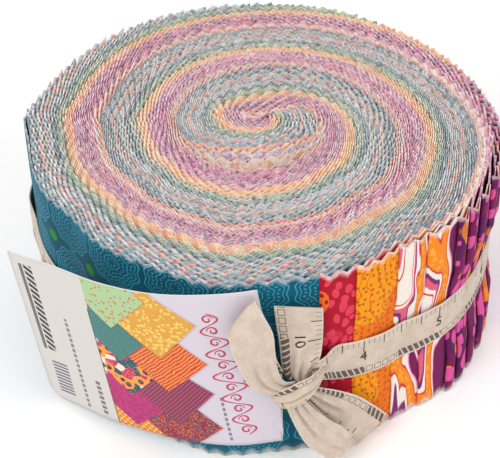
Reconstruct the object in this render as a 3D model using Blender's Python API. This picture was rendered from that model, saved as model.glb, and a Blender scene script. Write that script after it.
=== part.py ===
# Roll of quilting fabric strips, standing on its cut edge and tied with a cotton tape.
# Lengths are in millimetres until toMetres; azimuths are degrees, counter-clockwise from +X,
# so -90 is the front. The winding grows outwards clockwise, seen from above.
import bpy
import bmesh
import math
from mathutils import Vector

for oldObject in list(bpy.data.objects):
    bpy.data.objects.remove(oldObject, do_unlink=True)

mm = 0.001
gap = 0.45                # clearance between pieces that touch

# ---- driving sizes of the roll ----
stripWidth = 63.5         # a 2.5 in strip, so also the height of the roll
rollRadius = 65.0         # mean radius of the wound pack
turnPitch = 22.5          # 40 strips folded in two, wound once round
toothCount = 90           # pinked teeth round the rim
toothDepth = 1.7
rimInset = 1.3            # the rim tooth row is this wide
eyeRadius = 3.0
grooveDepth = 1.6         # between one turn of the pack and the next
grooveShare = 0.085       # half the groove's width as a share of the pitch
faceSink = 0.4            # the wound edges lie this far below the rim's tooth tips
dishDepth = 3.2           # the loose middle has sunk
dishRadius = 30.0

# where the pack is out of round
bulgeTable = (
    # azimuth, spread, rise
    (-101.0, 9.0, 2.3),
    (-55.0, 9.0, -1.9),
    (-34.0, 8.0, 0.8),
    (35.0, 28.0, -1.3),
    (122.0, 20.0, 0.7),
    (174.0, 7.0, 2.0),
    (-143.0, 8.0, -1.9),
)

# folded ends of the strips that lie at the front, innermost strip first
frontEnds = (
    # azimuth of the fold, how proud it stands
    (-77.5, 0.9),
    (-69.4, 0.9),
    (-59.4, 0.9),
    (-51.2, 1.0),
    (-42.5, 1.8),
    (-36.9, 1.3),
    (-31.5, 1.3),
    (-26.0, 1.2),
)
hiddenEnds = 32           # the other strips end one after another round the back
hiddenLift = 0.6
lastEnd = 172.0           # the outermost strip ends here
foldPair = 0.3            # a fold is drawn by two columns this far to each side

# ---- the tape that ties it ----
tapeWidth = 12.5
tapeThick = 1.0
bandMid = 32.5
squeezeFront = 1.3        # how far the tie pulls the loose strips in
squeezeBack = 0.5
knotAzimuth = -82.0
knotRadius = 66.0         # across, out and up are counted from here
bandPinch = 6.5           # width where the knot gathers the tape
bandRightEnd = 4.1        # both ends of the band, measured across from the knot
bandLeftEnd = -6.6
bandFront = 4.0           # how far out the band lies over the card
bandKnot = 2.6            # and where it comes off the knot on the right
bandGather = (15.0, 36.0)   # it is gathered over these lengths, right and left of the knot
bandRise = 0.8            # the gathered ends lie a little higher

# ---- the label card ----
cardWidth = 72.5
cardHeight = 54.0
cardThick = 1.0
cardTilt = 7.0
cardFoot = 8.8            # height of its lower right corner
cardCorner = 5.0          # rounding of its lower left corner
cardHole = (5.5, 14.5, 21.0, 30.5)    # from and to across from the right edge, then up

# the card's course in plan, from its right end along the roll and off to the left
cardCourse = (
    # x, y
    (5.4, -68.5),
    (-9.5, -68.2),
    (-24.3, -64.2),
    (-38.9, -56.2),
    (-53.0, -46.9),
    (-69.5, -41.2),
)

# the loops and tails: points on one edge, the middle and the other edge of the tape,
# each as across, out and up from the knot
loopUpper = (
    ((-4.2, 6.6, 33.5), (-5.6, 7.0, 31.6), (-6.4, 6.6, 29.6)),
    ((-6.2, 7.4, 38.9), (-9.2, 8.2, 36.4), (-11.9, 7.4, 33.7)),
    ((-7.0, 7.8, 46.6), (-10.9, 9.0, 44.0), (-15.0, 8.3, 42.0)),
    ((-7.6, 7.6, 53.3), (-12.0, 9.0, 50.6), (-16.2, 8.7, 47.0)),
    ((-10.9, 7.0, 61.6), (-14.4, 8.4, 57.0), (-17.0, 8.4, 50.8)),
    ((-11.1, 6.1, 62.2), (-14.9, 7.3, 57.4), (-17.5, 7.5, 51.1)),
    ((-10.6, 5.4, 60.4), (-14.2, 6.2, 56.2), (-16.6, 6.6, 50.2)),
    ((-8.2, 5.4, 52.0), (-11.5, 5.5, 48.0), (-14.2, 5.6, 44.0)),
    ((-6.9, 5.4, 43.0), (-9.8, 5.4, 40.6), (-12.4, 5.4, 38.6)),
    ((-6.2, 5.4, 37.6), (-7.6, 5.4, 36.2), (-9.0, 5.4, 35.0)),
)
loopLower = (
    ((0.6, 5.7, 25.6), (-1.8, 6.1, 24.6), (-4.0, 5.4, 24.2)),
    ((5.4, 6.4, 19.2), (1.6, 7.6, 17.6), (-2.0, 6.6, 17.4)),
    ((8.6, 7.1, 16.0), (5.2, 8.4, 12.4), (0.8, 7.6, 11.0)),
    ((10.8, 7.4, 13.4), (9.8, 8.6, 8.4), (5.6, 8.2, 5.4)),
    ((11.3, 6.4, 13.0), (10.6, 7.3, 7.9), (6.4, 7.2, 4.6)),
    ((10.3, 5.4, 13.2), (9.6, 6.1, 8.6), (5.6, 6.1, 5.8)),
    ((6.4, 4.9, 17.0), (4.6, 5.1, 13.4), (1.8, 5.2, 10.6)),
    ((1.4, 4.4, 23.6), (-0.6, 4.5, 22.4), (-2.8, 4.4, 22.0)),
)
tailUpper = (
    ((-3.4, 3.4, 34.2), (-0.8, 3.9, 34.0), (1.9, 3.2, 34.3)),
    ((-4.6, 2.8, 38.0), (-0.4, 3.2, 37.6), (4.4, 2.4, 37.6)),
    ((-5.7, 2.2, 44.0), (-0.3, 2.5, 43.4), (5.1, 1.9, 43.0)),
    ((-6.4, 1.8, 50.0), (-0.6, 1.9, 49.2), (5.3, 1.7, 48.6)),
    ((-6.9, 1.9, 56.4), (-0.9, 1.7, 55.2), (5.2, 1.7, 53.9)),
)
tailLower = (
    ((3.0, 3.6, 27.6), (1.9, 3.6, 26.4), (0.8, 3.4, 25.3)),
    ((9.0, 2.4, 24.6), (6.2, 3.0, 21.6), (3.2, 2.6, 18.6)),
    ((14.9, 1.9, 20.0), (11.4, 2.4, 15.6), (8.0, 2.2, 11.0)),
    ((20.0, 1.8, 14.2), (16.2, 2.2, 9.4), (12.4, 2.1, 4.6)),
    ((24.2, 1.8, 8.6), (19.6, 2.1, 4.8), (15.0, 2.1, 0.9)),
)
knotMiddle = (-1.3, 4.7, 29.5)
knotReach = (4.6, 3.5, 4.1)           # half sizes across, out and up
knotTurn = 28.0                       # the wrap over the knot slopes


def toMetres(point):
    return Vector(point) * mm


def polar(azimuth, radius, up):
    angle = math.radians(azimuth)
    return (radius * math.cos(angle), radius * math.sin(angle), up)


def azimuthAcross(across):
    return knotAzimuth + math.degrees(across / knotRadius)


def fromKnot(across, out, up):
    return polar(azimuthAcross(across), knotRadius + out, up)


def smoothStep(low, high, value):
    share = min(1.0, max(0.0, (value - low) / (high - low)))
    return share * share * (3.0 - 2.0 * share)


def turnBetween(azimuth, start):
    return (azimuth - start) % 360.0


def curveThrough(points, share):
    # Catmull-Rom curve through any number of points; share runs from 0 to the last index
    last = len(points) - 1
    index = min(int(share), last - 1)
    part = share - index
    here, ahead = Vector(points[index]), Vector(points[index + 1])
    before = Vector(points[index - 1]) if index > 0 else here * 2.0 - ahead
    after = Vector(points[index + 2]) if index + 2 <= last else ahead * 2.0 - here
    steady = 2.0 * here + (ahead - before) * part
    bend = (2.0 * before - 5.0 * here + 4.0 * ahead - after) * part ** 2
    turn = (3.0 * here - before - 3.0 * ahead + after) * part ** 3
    return (steady + bend + turn) / 2.0


def makeMaterial(name, colour, roughness):
    material = bpy.data.materials.new(name)
    material.use_nodes = True
    shader = material.node_tree.nodes["Principled BSDF"]
    shader.inputs["Base Color"].default_value = (*colour, 1.0)
    shader.inputs["Roughness"].default_value = roughness
    shader.inputs["Metallic"].default_value = 0.0
    return material


def finishObject(name, shape, material):
    bmesh.ops.recalc_face_normals(shape, faces=shape.faces)
    mesh = bpy.data.meshes.new(name)
    shape.to_mesh(mesh)
    shape.free()
    made = bpy.data.objects.new(name, mesh)
    bpy.context.scene.collection.objects.link(made)
    made.data.materials.append(material)
    return made


def addPatch(shape, grid):
    # a sheet of faces over rows of points
    rows = [[shape.verts.new(toMetres(point)) for point in row] for row in grid]
    for here, ahead in zip(rows, rows[1:]):
        for low in range(len(here) - 1):
            shape.faces.new([here[low], here[low + 1], ahead[low + 1], ahead[low]])


def thicken(made, thickness):
    solid = made.modifiers.new("Solidify", "SOLIDIFY")
    solid.thickness = thickness * mm
    solid.offset = 0.0
    solid.use_even_offset = True


# ---- the wound pack ----

def listEnds():
    ends = list(frontEnds)
    first = frontEnds[-1][0]
    for index in range(1, hiddenEnds + 1):
        ends.append((first + (lastEnd - first) * index / hiddenEnds, hiddenLift))
    return ends


stripEnds = listEnds()
firstEnd = stripEnds[0][0]


def packRadius(azimuth):
    radius = rollRadius
    for middle, spread, rise in bulgeTable:
        away = (azimuth - middle + 180.0) % 360.0 - 180.0
        radius += rise * math.exp(-(away / spread) ** 2)
    return radius


def stepLift(azimuth):
    # each folded end stands proud and settles towards the next one
    angle = turnBetween(azimuth, firstEnd)
    stops = [fold - firstEnd for fold, lift in stripEnds[1:]]
    stops.append(stripEnds[-1][0] - firstEnd + 6.0)
    for (fold, lift), stop in zip(stripEnds, stops):
        start = fold - firstEnd
        if start <= angle < stop:
            return lift * (stop - angle) / (stop - start)
    return 0.0


def tieSqueeze(azimuth, up):
    loose = math.cos(math.radians((azimuth + 30.0) / 2.0)) ** 2
    depth = squeezeBack + (squeezeFront - squeezeBack) * loose
    away = abs(up - bandMid) - tapeWidth / 2.0
    return depth * (1.0 - smoothStep(0.5, 9.0, away))


def outlineRadius(azimuth, up):
    squeeze = tieSqueeze(azimuth, up)
    lift = stepLift(azimuth) * (1.0 - 0.5 * squeeze / squeezeFront)
    return packRadius(azimuth) + lift - squeeze


def turnShare(azimuth):
    # share of a turn from the first fold, where each spiral line passes into its next turn
    return turnBetween(azimuth, firstEnd - foldPair - 0.0001) / 360.0


def listColumns():
    # azimuths of the tooth tips and valleys, and a close pair at each fold in front
    columns = [index * 180.0 / toothCount for index in range(2 * toothCount)]
    for fold, lift in frontEnds:
        opposite = fold + 180.0
        columns = [column for column in columns if abs(turnBetween(column, opposite) - 180.0) > 2.0 * foldPair]
        columns += [fold - foldPair, fold + foldPair]
    return sorted(columns, key=turnShare)


def toothDrop(azimuth):
    phase = (azimuth * toothCount / 360.0) % 1.0
    return toothDepth * (1.0 - abs(2.0 * phase - 1.0))


def faceRow(azimuth, shares, turns):
    # where the spiral lines cross this azimuth, from the rim in to the eye
    limit = outlineRadius(azimuth, stripWidth) - rimInset
    start = packRadius(firstEnd) + turnPitch * (1.0 - turnShare(azimuth))
    row = []
    for turn in range(turns):
        for share in shares:
            radius = min(limit, max(eyeRadius, start - turnPitch * (turn + share)))
            onLine = eyeRadius < radius < limit
            row.append((radius, min(share, 1.0 - share) if onLine else 1.0))
    return row


def addFace(shape, columns, shares, heightAt):
    # spiral lines run on from each turn into the next, so the last column joins one turn further
    turns = int(rollRadius / turnPitch) + 3
    rows = []
    for azimuth in columns:
        row = faceRow(azimuth, shares, turns)
        rows.append([polar(azimuth, radius, heightAt(radius, away)) for radius, away in row])
    joined = rows[0][len(shares):] + [rows[0][-1]] * len(shares)
    rows.append(joined)
    addPatch(shape, rows)
    eye = [shape.verts.new(toMetres(row[-1])) for row in rows[:-1]]
    middle = shape.verts.new(toMetres((0.0, 0.0, heightAt(0.0, 1.0))))
    for here, ahead in zip(eye, eye[1:] + eye[:1]):
        shape.faces.new([middle, here, ahead])


def topHeight(radius, away):
    groove = grooveDepth * (1.0 - smoothStep(0.0, grooveShare, away))
    dish = dishDepth * (1.0 - smoothStep(0.0, dishRadius, radius))
    return stripWidth - faceSink - groove - dish


def footHeight(radius, away):
    return grooveDepth * (1.0 - smoothStep(0.0, grooveShare, away))


def addWall(shape, columns):
    levels = (13.0, bandMid - tapeWidth / 2.0, bandMid + tapeWidth / 2.0, 51.0)
    rows = []
    for azimuth in columns + columns[:1]:
        rim = outlineRadius(azimuth, stripWidth)
        drop = toothDrop(azimuth)
        row = [polar(azimuth, rim - rimInset, footHeight(rim, 1.0)), polar(azimuth, rim, drop)]
        row += [polar(azimuth, outlineRadius(azimuth, up), up) for up in levels]
        row += [polar(azimuth, rim, stripWidth - drop), polar(azimuth, rim - rimInset, topHeight(rim, 1.0))]
        rows.append(row)
    addPatch(shape, rows)


def makeRoll(material):
    shape = bmesh.new()
    columns = listColumns()
    addFace(shape, columns, (0.0, grooveShare, 0.5, 1.0 - grooveShare), topHeight)
    addFace(shape, columns, (0.0, grooveShare, 1.0 - grooveShare), footHeight)
    addWall(shape, columns)
    bmesh.ops.remove_doubles(shape, verts=shape.verts, dist=0.00001)
    bmesh.ops.triangulate(shape, faces=shape.faces)
    return finishObject("strip_roll", shape, material)


# ---- the tape ----

def bandSeat(azimuth):
    # the band bridges the small steps, so it follows the highest of them nearby
    nearby = [outlineRadius(azimuth + 1.5 * step, bandMid) for step in range(-4, 5)]
    return max(nearby) + gap + tapeThick / 2.0


def bandCourse():
    # from the right of the knot, round the back, through the card and up to the knot again
    full = 2.0 * math.pi * knotRadius
    holeNear, holeFar = cardHole[0] + 7.0, cardHole[1] + 6.5
    stations = []
    count = 150
    for index in range(count + 1):
        across = bandRightEnd + (full - holeFar - bandRightEnd) * index / count
        azimuth = azimuthAcross(across)
        ahead = full - across
        spread = min(smoothStep(bandRightEnd, bandGather[0], across), smoothStep(holeFar, bandGather[1], ahead))
        narrow = 1.0 - spread
        width = tapeWidth - (tapeWidth - bandPinch) * narrow
        raised = 1.0 - smoothStep(bandRightEnd, bandGather[0] - 2.0, across)
        radius = bandSeat(azimuth) * (1.0 - raised) + (knotRadius + bandKnot) * raised
        stations.append((azimuth, radius, width))
    through = (
        # across, out
        (-holeFar + 2.6, 0.45 * bandFront),
        (-holeNear - 3.0, 0.775 * bandFront),
        (-holeNear - 1.3, bandFront),
        (bandLeftEnd, bandFront),
    )
    for across, out in through:
        stations.append((azimuthAcross(across), knotRadius + out, bandPinch))
    return stations


def makeBand(material):
    shape = bmesh.new()
    rows = []
    for azimuth, radius, width in bandCourse():
        middle = bandMid + bandRise * (tapeWidth - width) / (tapeWidth - bandPinch)
        rows.append([polar(azimuth, radius, middle + width * share) for share in (-0.5, 0.0, 0.5)])
    addPatch(shape, rows)
    made = finishObject("tape_band", shape, material)
    thicken(made, tapeThick)
    return made


def makeTapeSheet(name, table, material):
    shape = bmesh.new()
    steps = 2
    rows = []
    for index in range((len(table) - 1) * steps + 1):
        share = index / steps
        places = [curveThrough([station[rail] for station in table], share) for rail in range(3)]
        rows.append([fromKnot(*place) for place in places])
    addPatch(shape, rows)
    made = finishObject(name, shape, material)
    thicken(made, tapeThick)
    return made


def makeKnot(material):
    shape = bmesh.new()
    bmesh.ops.create_icosphere(shape, subdivisions=3, radius=1.0)
    slope = math.radians(knotTurn)
    for vert in shape.verts:
        across, out, up = (size * place for size, place in zip(knotReach, vert.co))
        alongWrap = across * math.cos(slope) - up * math.sin(slope)
        upWrap = across * math.sin(slope) + up * math.cos(slope)
        place = [middle + away for middle, away in zip(knotMiddle, (alongWrap, out, upWrap))]
        vert.co = toMetres(fromKnot(*place))
    return finishObject("tape_knot", shape, material)


# ---- the label card ----

def cardPlan():
    # the course in plan with the length run so far
    course = []
    length = 0.0
    steps = 20
    for index in range((len(cardCourse) - 1) * steps + 1):
        place = curveThrough(cardCourse, index / steps)
        if course:
            length += (place - course[-1][1]).length
        course.append((length, place))
    return course


def planAt(course, length):
    for (runHere, here), (runAhead, ahead) in zip(course, course[1:]):
        if length <= runAhead:
            return here.lerp(ahead, (length - runHere) / (runAhead - runHere))
    return course[-1][1]


def cardPoint(course, across, up):
    # a rounded lower left corner, then the card's tilt
    over, under = across - (cardWidth - cardCorner), cardCorner - up
    if over > 0.0 and under > 0.0 and math.hypot(over, under) > cardCorner:
        shrink = cardCorner / math.hypot(over, under)
        across, up = cardWidth - cardCorner + over * shrink, cardCorner - under * shrink
    slope = math.radians(cardTilt)
    place = planAt(course, across * math.cos(slope) + up * math.sin(slope))
    return (place.x, place.y, cardFoot + up * math.cos(slope) - across * math.sin(slope))


def makeCard(material):
    shape = bmesh.new()
    course = cardPlan()
    near, far, low, high = cardHole
    acrossLines = [0.0, near / 2.0, near, far]
    acrossLines += [far + (cardWidth - cardCorner - far) * index / 12 for index in range(1, 13)]
    acrossLines += [cardWidth - 0.3 * cardCorner, cardWidth]
    upLines = [0.0, 0.3 * cardCorner, cardCorner, 13.0, low, high, 42.0, cardHeight]
    grid = {}
    for across in acrossLines:
        for up in upLines:
            grid[across, up] = shape.verts.new(toMetres(cardPoint(course, across, up)))
    for left, right in zip(acrossLines, acrossLines[1:]):
        for bottom, top in zip(upLines, upLines[1:]):
            if left == near and bottom == low:
                continue
            corners = ((left, bottom), (right, bottom), (right, top), (left, top))
            shape.faces.new([grid[corner] for corner in corners])
    made = finishObject("label_card", shape, material)
    thicken(made, cardThick)
    return made


cottonPack = makeMaterial("cottonPack", (0.32, 0.30, 0.42), 0.85)
tapeCotton = makeMaterial("tapeCotton", (0.74, 0.64, 0.50), 0.9)
cardPaper = makeMaterial("cardPaper", (0.80, 0.78, 0.80), 0.5)

makeRoll(cottonPack)
makeBand(tapeCotton)
makeKnot(tapeCotton)
makeTapeSheet("loop_upper", loopUpper, tapeCotton)
makeTapeSheet("loop_lower", loopLower, tapeCotton)
makeTapeSheet("tail_upper", tailUpper, tapeCotton)
makeTapeSheet("tail_lower", tailLower, tapeCotton)
makeCard(cardPaper)
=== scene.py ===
import math
import random

import bmesh
import bpy
from mathutils import Matrix, Vector


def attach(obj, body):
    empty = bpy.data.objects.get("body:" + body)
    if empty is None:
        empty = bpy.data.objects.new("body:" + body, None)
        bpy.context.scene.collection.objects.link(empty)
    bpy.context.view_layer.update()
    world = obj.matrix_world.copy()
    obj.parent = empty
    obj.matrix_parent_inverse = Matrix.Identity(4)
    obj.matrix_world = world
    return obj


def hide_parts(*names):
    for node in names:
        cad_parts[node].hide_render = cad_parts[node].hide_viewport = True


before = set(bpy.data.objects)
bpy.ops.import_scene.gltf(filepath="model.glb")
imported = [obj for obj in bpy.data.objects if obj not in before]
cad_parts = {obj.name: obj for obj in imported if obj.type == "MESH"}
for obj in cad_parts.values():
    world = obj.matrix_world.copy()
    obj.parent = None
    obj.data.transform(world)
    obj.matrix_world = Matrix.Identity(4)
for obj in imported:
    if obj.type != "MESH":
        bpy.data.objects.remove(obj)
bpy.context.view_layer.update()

# A roll of pinked quilting cotton strips tied with a printed measuring tape.
# Sizes are millimetres and degrees until toMetres; azimuth turns anticlockwise from +X.
mm = 0.001
dice = random.Random(41)


def toMetres(point):
    return Vector(point) * mm


def polar(azimuth, radius, up):
    angle = math.radians(azimuth)
    return (radius * math.cos(angle), radius * math.sin(angle), up)


def smoothStep(low, high, value):
    share = min(1.0, max(0.0, (value - low) / (high - low)))
    return share * share * (3.0 - 2.0 * share)


def between(table, value):
    # straight lines through (value, result) rows
    for here, ahead in zip(table, table[1:]):
        if value <= ahead[0]:
            share = max(0.0, (value - here[0]) / (ahead[0] - here[0]))
            return here[1] + (ahead[1] - here[1]) * share
    return table[-1][1]


# ---- camera, floor and light ----

studio = {
    "cameraPlace": (0.0, -350.2, 313.3),
    "cameraYaw": -0.0112,         # radians, to the right of +Y
    "cameraDip": 39.42,           # degrees below level
    "cameraRoll": -0.0196,        # radians
    "lens": 110.8,
    "floorSize": 6.0,             # metres
    "worldLight": 0.64,
    "floorGlow": 0.12,
    "lampAim": (0.0, 0.0, 0.03),  # metres, like the lamps' places
    "keyPlace": (-0.45, -0.6, 0.85),
    "keySize": 0.5,
    "keyPower": 4.6,
    "fillPlace": (0.75, -0.35, 0.7),
    "fillSize": 0.6,
    "fillPower": 2.2,
}


def addCamera():
    dip = math.radians(studio["cameraDip"])
    yaw = studio["cameraYaw"]
    ahead = Vector((math.sin(yaw) * math.cos(dip), math.cos(yaw) * math.cos(dip), -math.sin(dip)))
    side = Vector((math.cos(yaw), -math.sin(yaw), 0.0))
    over = side.cross(ahead)
    turn = studio["cameraRoll"]
    right = math.cos(turn) * side + math.sin(turn) * over
    top = math.cos(turn) * over - math.sin(turn) * side
    lens = bpy.data.cameras.new("camera")
    lens.lens = studio["lens"]
    lens.clip_start = 0.01
    camera = bpy.data.objects.new("camera", lens)
    bpy.context.scene.collection.objects.link(camera)
    grid = Matrix((right, top, -ahead)).transposed().to_4x4()
    grid.translation = toMetres(studio["cameraPlace"])
    camera.matrix_world = grid
    bpy.context.scene.camera = camera


addCamera()
print("camera set")


# ---- material helpers ----

class NodeBench:
    # adds nodes to one tree, left to right, with constants set on their own sockets

    def __init__(self, tree):
        self.tree = tree
        self.count = 0

    def add(self, kind, inputs=None, **settings):
        node = self.tree.nodes.new(kind)
        node.location = (180 * (self.count % 12), -240 * (self.count // 12))
        self.count += 1
        for name, value in settings.items():
            setattr(node, name, value)
        for key, value in (inputs or {}).items():
            self.feed(node, key, value)
        return node

    def feed(self, node, key, value):
        socket = node.inputs[key]
        if isinstance(value, bpy.types.NodeSocket):
            self.tree.links.new(value, socket)
        elif isinstance(value, bpy.types.Node):
            self.tree.links.new(value.outputs[0], socket)
        else:
            socket.default_value = value

    def maths(self, operation, first, second=0.0):
        return self.add("ShaderNodeMath", {0: first, 1: second}, operation=operation).outputs[0]

    def times(self, first, second):
        return self.maths("MULTIPLY", first, second)

    def plus(self, first, second):
        return self.maths("ADD", first, second)

    def minus(self, first, second):
        return self.maths("SUBTRACT", first, second)

    def apart(self, first, second):
        return self.maths("ABSOLUTE", self.minus(first, second))

    def over(self, first, second):
        return self.maths("DIVIDE", first, second)

    def larger(self, first, second):
        return self.maths("MAXIMUM", first, second)

    def fraction(self, value):
        return self.maths("FRACT", value)

    def above(self, value, edge):
        return self.maths("GREATER_THAN", value, edge)

    def below(self, value, edge):
        return self.maths("LESS_THAN", value, edge)

    def within(self, value, low, high):
        return self.times(self.above(value, low), self.below(value, high))

    def vector(self, operation, inputs):
        return self.add("ShaderNodeVectorMath", inputs, operation=operation).outputs

    def split(self, place):
        return self.add("ShaderNodeSeparateXYZ", {0: place}).outputs

    def splitColour(self, colour):
        return self.add("ShaderNodeSeparateColor", {0: colour}).outputs

    def clothMap(self):
        return self.add("ShaderNodeAttribute", attribute_name="cloth").outputs["Vector"]

    def noise(self, place, scale, detail):
        return self.add("ShaderNodeTexNoise", {"Vector": place, "Scale": scale, "Detail": detail}).outputs

    def cells(self, place, scale, loose, dimensions="2D"):
        inputs = {"Vector": place, "Scale": scale, "Randomness": loose}
        return self.add("ShaderNodeTexVoronoi", inputs, voronoi_dimensions=dimensions).outputs

    def mix(self, share, first, second, blend="MIX"):
        node = self.add("ShaderNodeMix", data_type="RGBA", blend_type=blend)
        self.feed(node, 0, share)
        self.feed(node, 6, first)
        self.feed(node, 7, second)
        return node.outputs[2]

    def step(self, value, low, high, start=0.0, end=1.0):
        node = self.add("ShaderNodeMapRange", {0: value, 1: low, 2: high, 3: start, 4: end},
                        interpolation_type="SMOOTHSTEP")
        return node.outputs[0]


def inks(red, green, blue):
    # screen colour, 0 to 255, to the linear light that a shader wants
    def linear(part):
        part /= 255.0
        return part / 12.92 if part <= 0.04045 else ((part + 0.055) / 1.055) ** 2.4
    return (linear(red), linear(green), linear(blue), 1.0)


def newGroup(name, inputs, outputs):
    group = bpy.data.node_groups.new(name, "ShaderNodeTree")
    for label, kind, start in inputs:
        socket = group.interface.new_socket(label, in_out="INPUT", socket_type=kind)
        if start is not None:
            socket.default_value = start
    for label, kind in outputs:
        group.interface.new_socket(label, in_out="OUTPUT", socket_type=kind)
    bench = NodeBench(group)
    return group, bench, bench.add("NodeGroupInput").outputs, bench.add("NodeGroupOutput")


number, point = "NodeSocketFloat", "NodeSocketVector"


def makeWeave():
    # plain weave of the cotton, with uneven threads; coordinates are metres along and up the cloth
    group, bench, given, out = newGroup(
        "plainWeave",
        (("Cloth", point, None), ("Thread", number, 0.42)),
        (("Shade", number), ("Height", number)),
    )
    scale = bench.over(1000.0 * math.pi, given["Thread"])
    split = bench.split(given["Cloth"])
    slub = bench.noise(given["Cloth"], 900.0, 3.0)[0]
    wander = bench.times(slub, 2.2)
    warp, weft = (bench.maths("SINE", bench.plus(bench.times(split[way], scale), wander)) for way in (0, 1))
    cross = bench.times(warp, weft)
    bench.feed(out, "Height", bench.plus(bench.times(cross, 0.5), slub))
    bench.feed(out, "Shade", bench.plus(bench.plus(bench.times(cross, 0.05), bench.times(slub, 0.22)), 0.86))
    return group


def makePods():
    # scattered pods: each cell holds a slanted oval of its own size, some in the second colour
    group, bench, given, out = newGroup(
        "scatteredPods",
        (("Cloth", point, None), ("Spacing", number, 0.0075), ("Size", number, 0.3), ("Few", number, 0.7)),
        (("Pods", number), ("Few pods", number)),
    )
    slanted = bench.add("ShaderNodeMapping", {"Vector": given["Cloth"], "Rotation": (0.0, 0.0, 0.5),
                                              "Scale": (1.35, 0.85, 1.0)}).outputs[0]
    bend = bench.vector("SCALE", {0: bench.noise(slanted, 160.0, 1.0)["Color"], "Scale": 0.003})[0]
    bent = bench.vector("ADD", {0: slanted, 1: bend})[0]
    cell = bench.cells(bent, bench.over(1.0, given["Spacing"]), 0.75)
    own = bench.splitColour(cell["Color"])
    size = bench.times(given["Size"], bench.plus(bench.times(own[0], 0.7), 0.65))
    mask = bench.step(bench.minus(cell["Distance"], size), 0.02, -0.02)
    few = bench.above(own[1], given["Few"])
    bench.feed(out, "Few pods", bench.times(mask, few))
    bench.feed(out, "Pods", bench.times(mask, bench.minus(1.0, few)))
    return group


def makeWaves():
    # wavering lines that run up the strip, with stipple between them
    group, bench, given, out = newGroup(
        "waveringLines",
        (("Cloth", point, None), ("Gap", number, 0.006), ("Width", number, 0.16)),
        (("Lines", number), ("Stipple", number), ("Patches", number)),
    )
    shift = bench.times(bench.minus(bench.noise(given["Cloth"], 62.0, 2.0)[0], 0.5), 0.022)
    place = bench.over(bench.plus(bench.split(given["Cloth"])[0], shift), given["Gap"])
    away = bench.apart(bench.fraction(place), 0.5)
    dots = bench.cells(given["Cloth"], 470.0, 0.55)["Distance"]
    bench.feed(out, "Lines", bench.step(away, given["Width"], bench.times(given["Width"], 0.45)))
    bench.feed(out, "Stipple", bench.step(dots, 0.25, 0.18))
    bench.feed(out, "Patches", bench.step(bench.noise(given["Cloth"], 45.0, 1.5)[0], 0.53, 0.58))
    return group


rosette = {
    # across the rosette, in shares of the repeat
    "rings": ((0.455, 0.010), (0.40, 0.007), (0.275, 0.009), (0.13, 0.008)),            # radius, half width
    "beads": ((0.337, 0.018, 30.0), (0.205, 0.016, 20.0), (0.07, 0.016, 10.0)),         # and how many
    "scallops": 10.0,
    "scallopDepth": 0.05,
    "seed": (0.115, 0.095),
}


def makeRosettes():
    # rosettes of fine scalloped lines and beads in straight rows, with a round seed between every four
    group, bench, given, out = newGroup(
        "rosettes",
        (("Cloth", point, None), ("Repeat", number, 0.017), ("Stretch", number, 1.2)),
        (("Lines", number), ("Beads", number), ("Seeds", number)),
    )
    split = bench.split(given["Cloth"])
    column = bench.over(split[0], bench.times(given["Repeat"], given["Stretch"]))
    row = bench.over(split[1], given["Repeat"])
    left, low = (bench.minus(bench.fraction(place), 0.5) for place in (column, row))
    angle = bench.maths("ARCTAN2", low, left)
    petals = bench.maths("COSINE", bench.times(angle, rosette["scallops"]))
    scallop = bench.times(petals, rosette["scallopDepth"])
    distance = bench.maths("SQRT", bench.plus(bench.times(left, left), bench.times(low, low)))
    radius = bench.times(distance, bench.plus(scallop, 1.0))

    def ring(middle, half):
        return bench.step(bench.apart(radius, middle), half * 1.4, half * 0.6)

    lines, dots = 0.0, 0.0
    for middle, half in rosette["rings"]:
        lines = bench.larger(lines, ring(middle, half))
    for middle, half, count in rosette["beads"]:
        spokes = bench.step(bench.maths("SINE", bench.times(angle, count)), -0.2, 0.3)
        dots = bench.larger(dots, bench.times(ring(middle, half), spokes))
    inwards = [bench.minus(0.5, bench.maths("ABSOLUTE", side)) for side in (left, low)]
    corner = bench.add("ShaderNodeCombineXYZ", {0: inwards[0], 1: inwards[1]})
    bench.feed(out, "Lines", lines)
    bench.feed(out, "Beads", dots)
    bench.feed(out, "Seeds", bench.step(bench.vector("LENGTH", {0: corner})["Value"], *rosette["seed"]))
    return group


def makeRaw():
    # raw pinked edge: threads show white along the teeth; the map's third value is how deep the tooth is cut
    group, bench, given, out = newGroup(
        "rawEdge",
        (("Cloth", point, None), ("Reach", number, 0.0012)),
        (("Raw", number), ("Thread shade", number)),
    )
    split = bench.split(given["Cloth"])
    edge = bench.minus(bench.maths("MINIMUM", split[1], bench.minus(0.0635, split[1])), split[2])
    fine = bench.noise(given["Cloth"], 1400.0, 2.0)[0]
    ragged = bench.minus(edge, bench.times(bench.minus(fine, 0.5), 0.0018))
    bench.feed(out, "Raw", bench.step(ragged, given["Reach"], 0.0))
    bench.feed(out, "Thread shade", bench.plus(bench.times(fine, 0.5), 0.74))
    return group


weaveGroup, podGroup, waveGroup = makeWeave(), makePods(), makeWaves()
rosetteGroup, rawGroup = makeRosettes(), makeRaw()


def startMaterial(name, roughness, sheen=0.0, gloss=0.5):
    material = bpy.data.materials.new(name)
    material.use_nodes = True
    shader = material.node_tree.nodes["Principled BSDF"]
    shader.inputs["Roughness"].default_value = roughness
    shader.inputs["Sheen Weight"].default_value = sheen
    shader.inputs["Specular IOR Level"].default_value = gloss
    return material, NodeBench(material.node_tree), shader


def useGroup(bench, group, inputs):
    return bench.add("ShaderNodeGroup", inputs, node_tree=group).outputs


def setBump(bench, shader, height, distance, strength):
    bump = bench.add("ShaderNodeBump", {"Height": height, "Distance": distance, "Strength": strength})
    bench.feed(shader, "Normal", bump)


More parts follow.
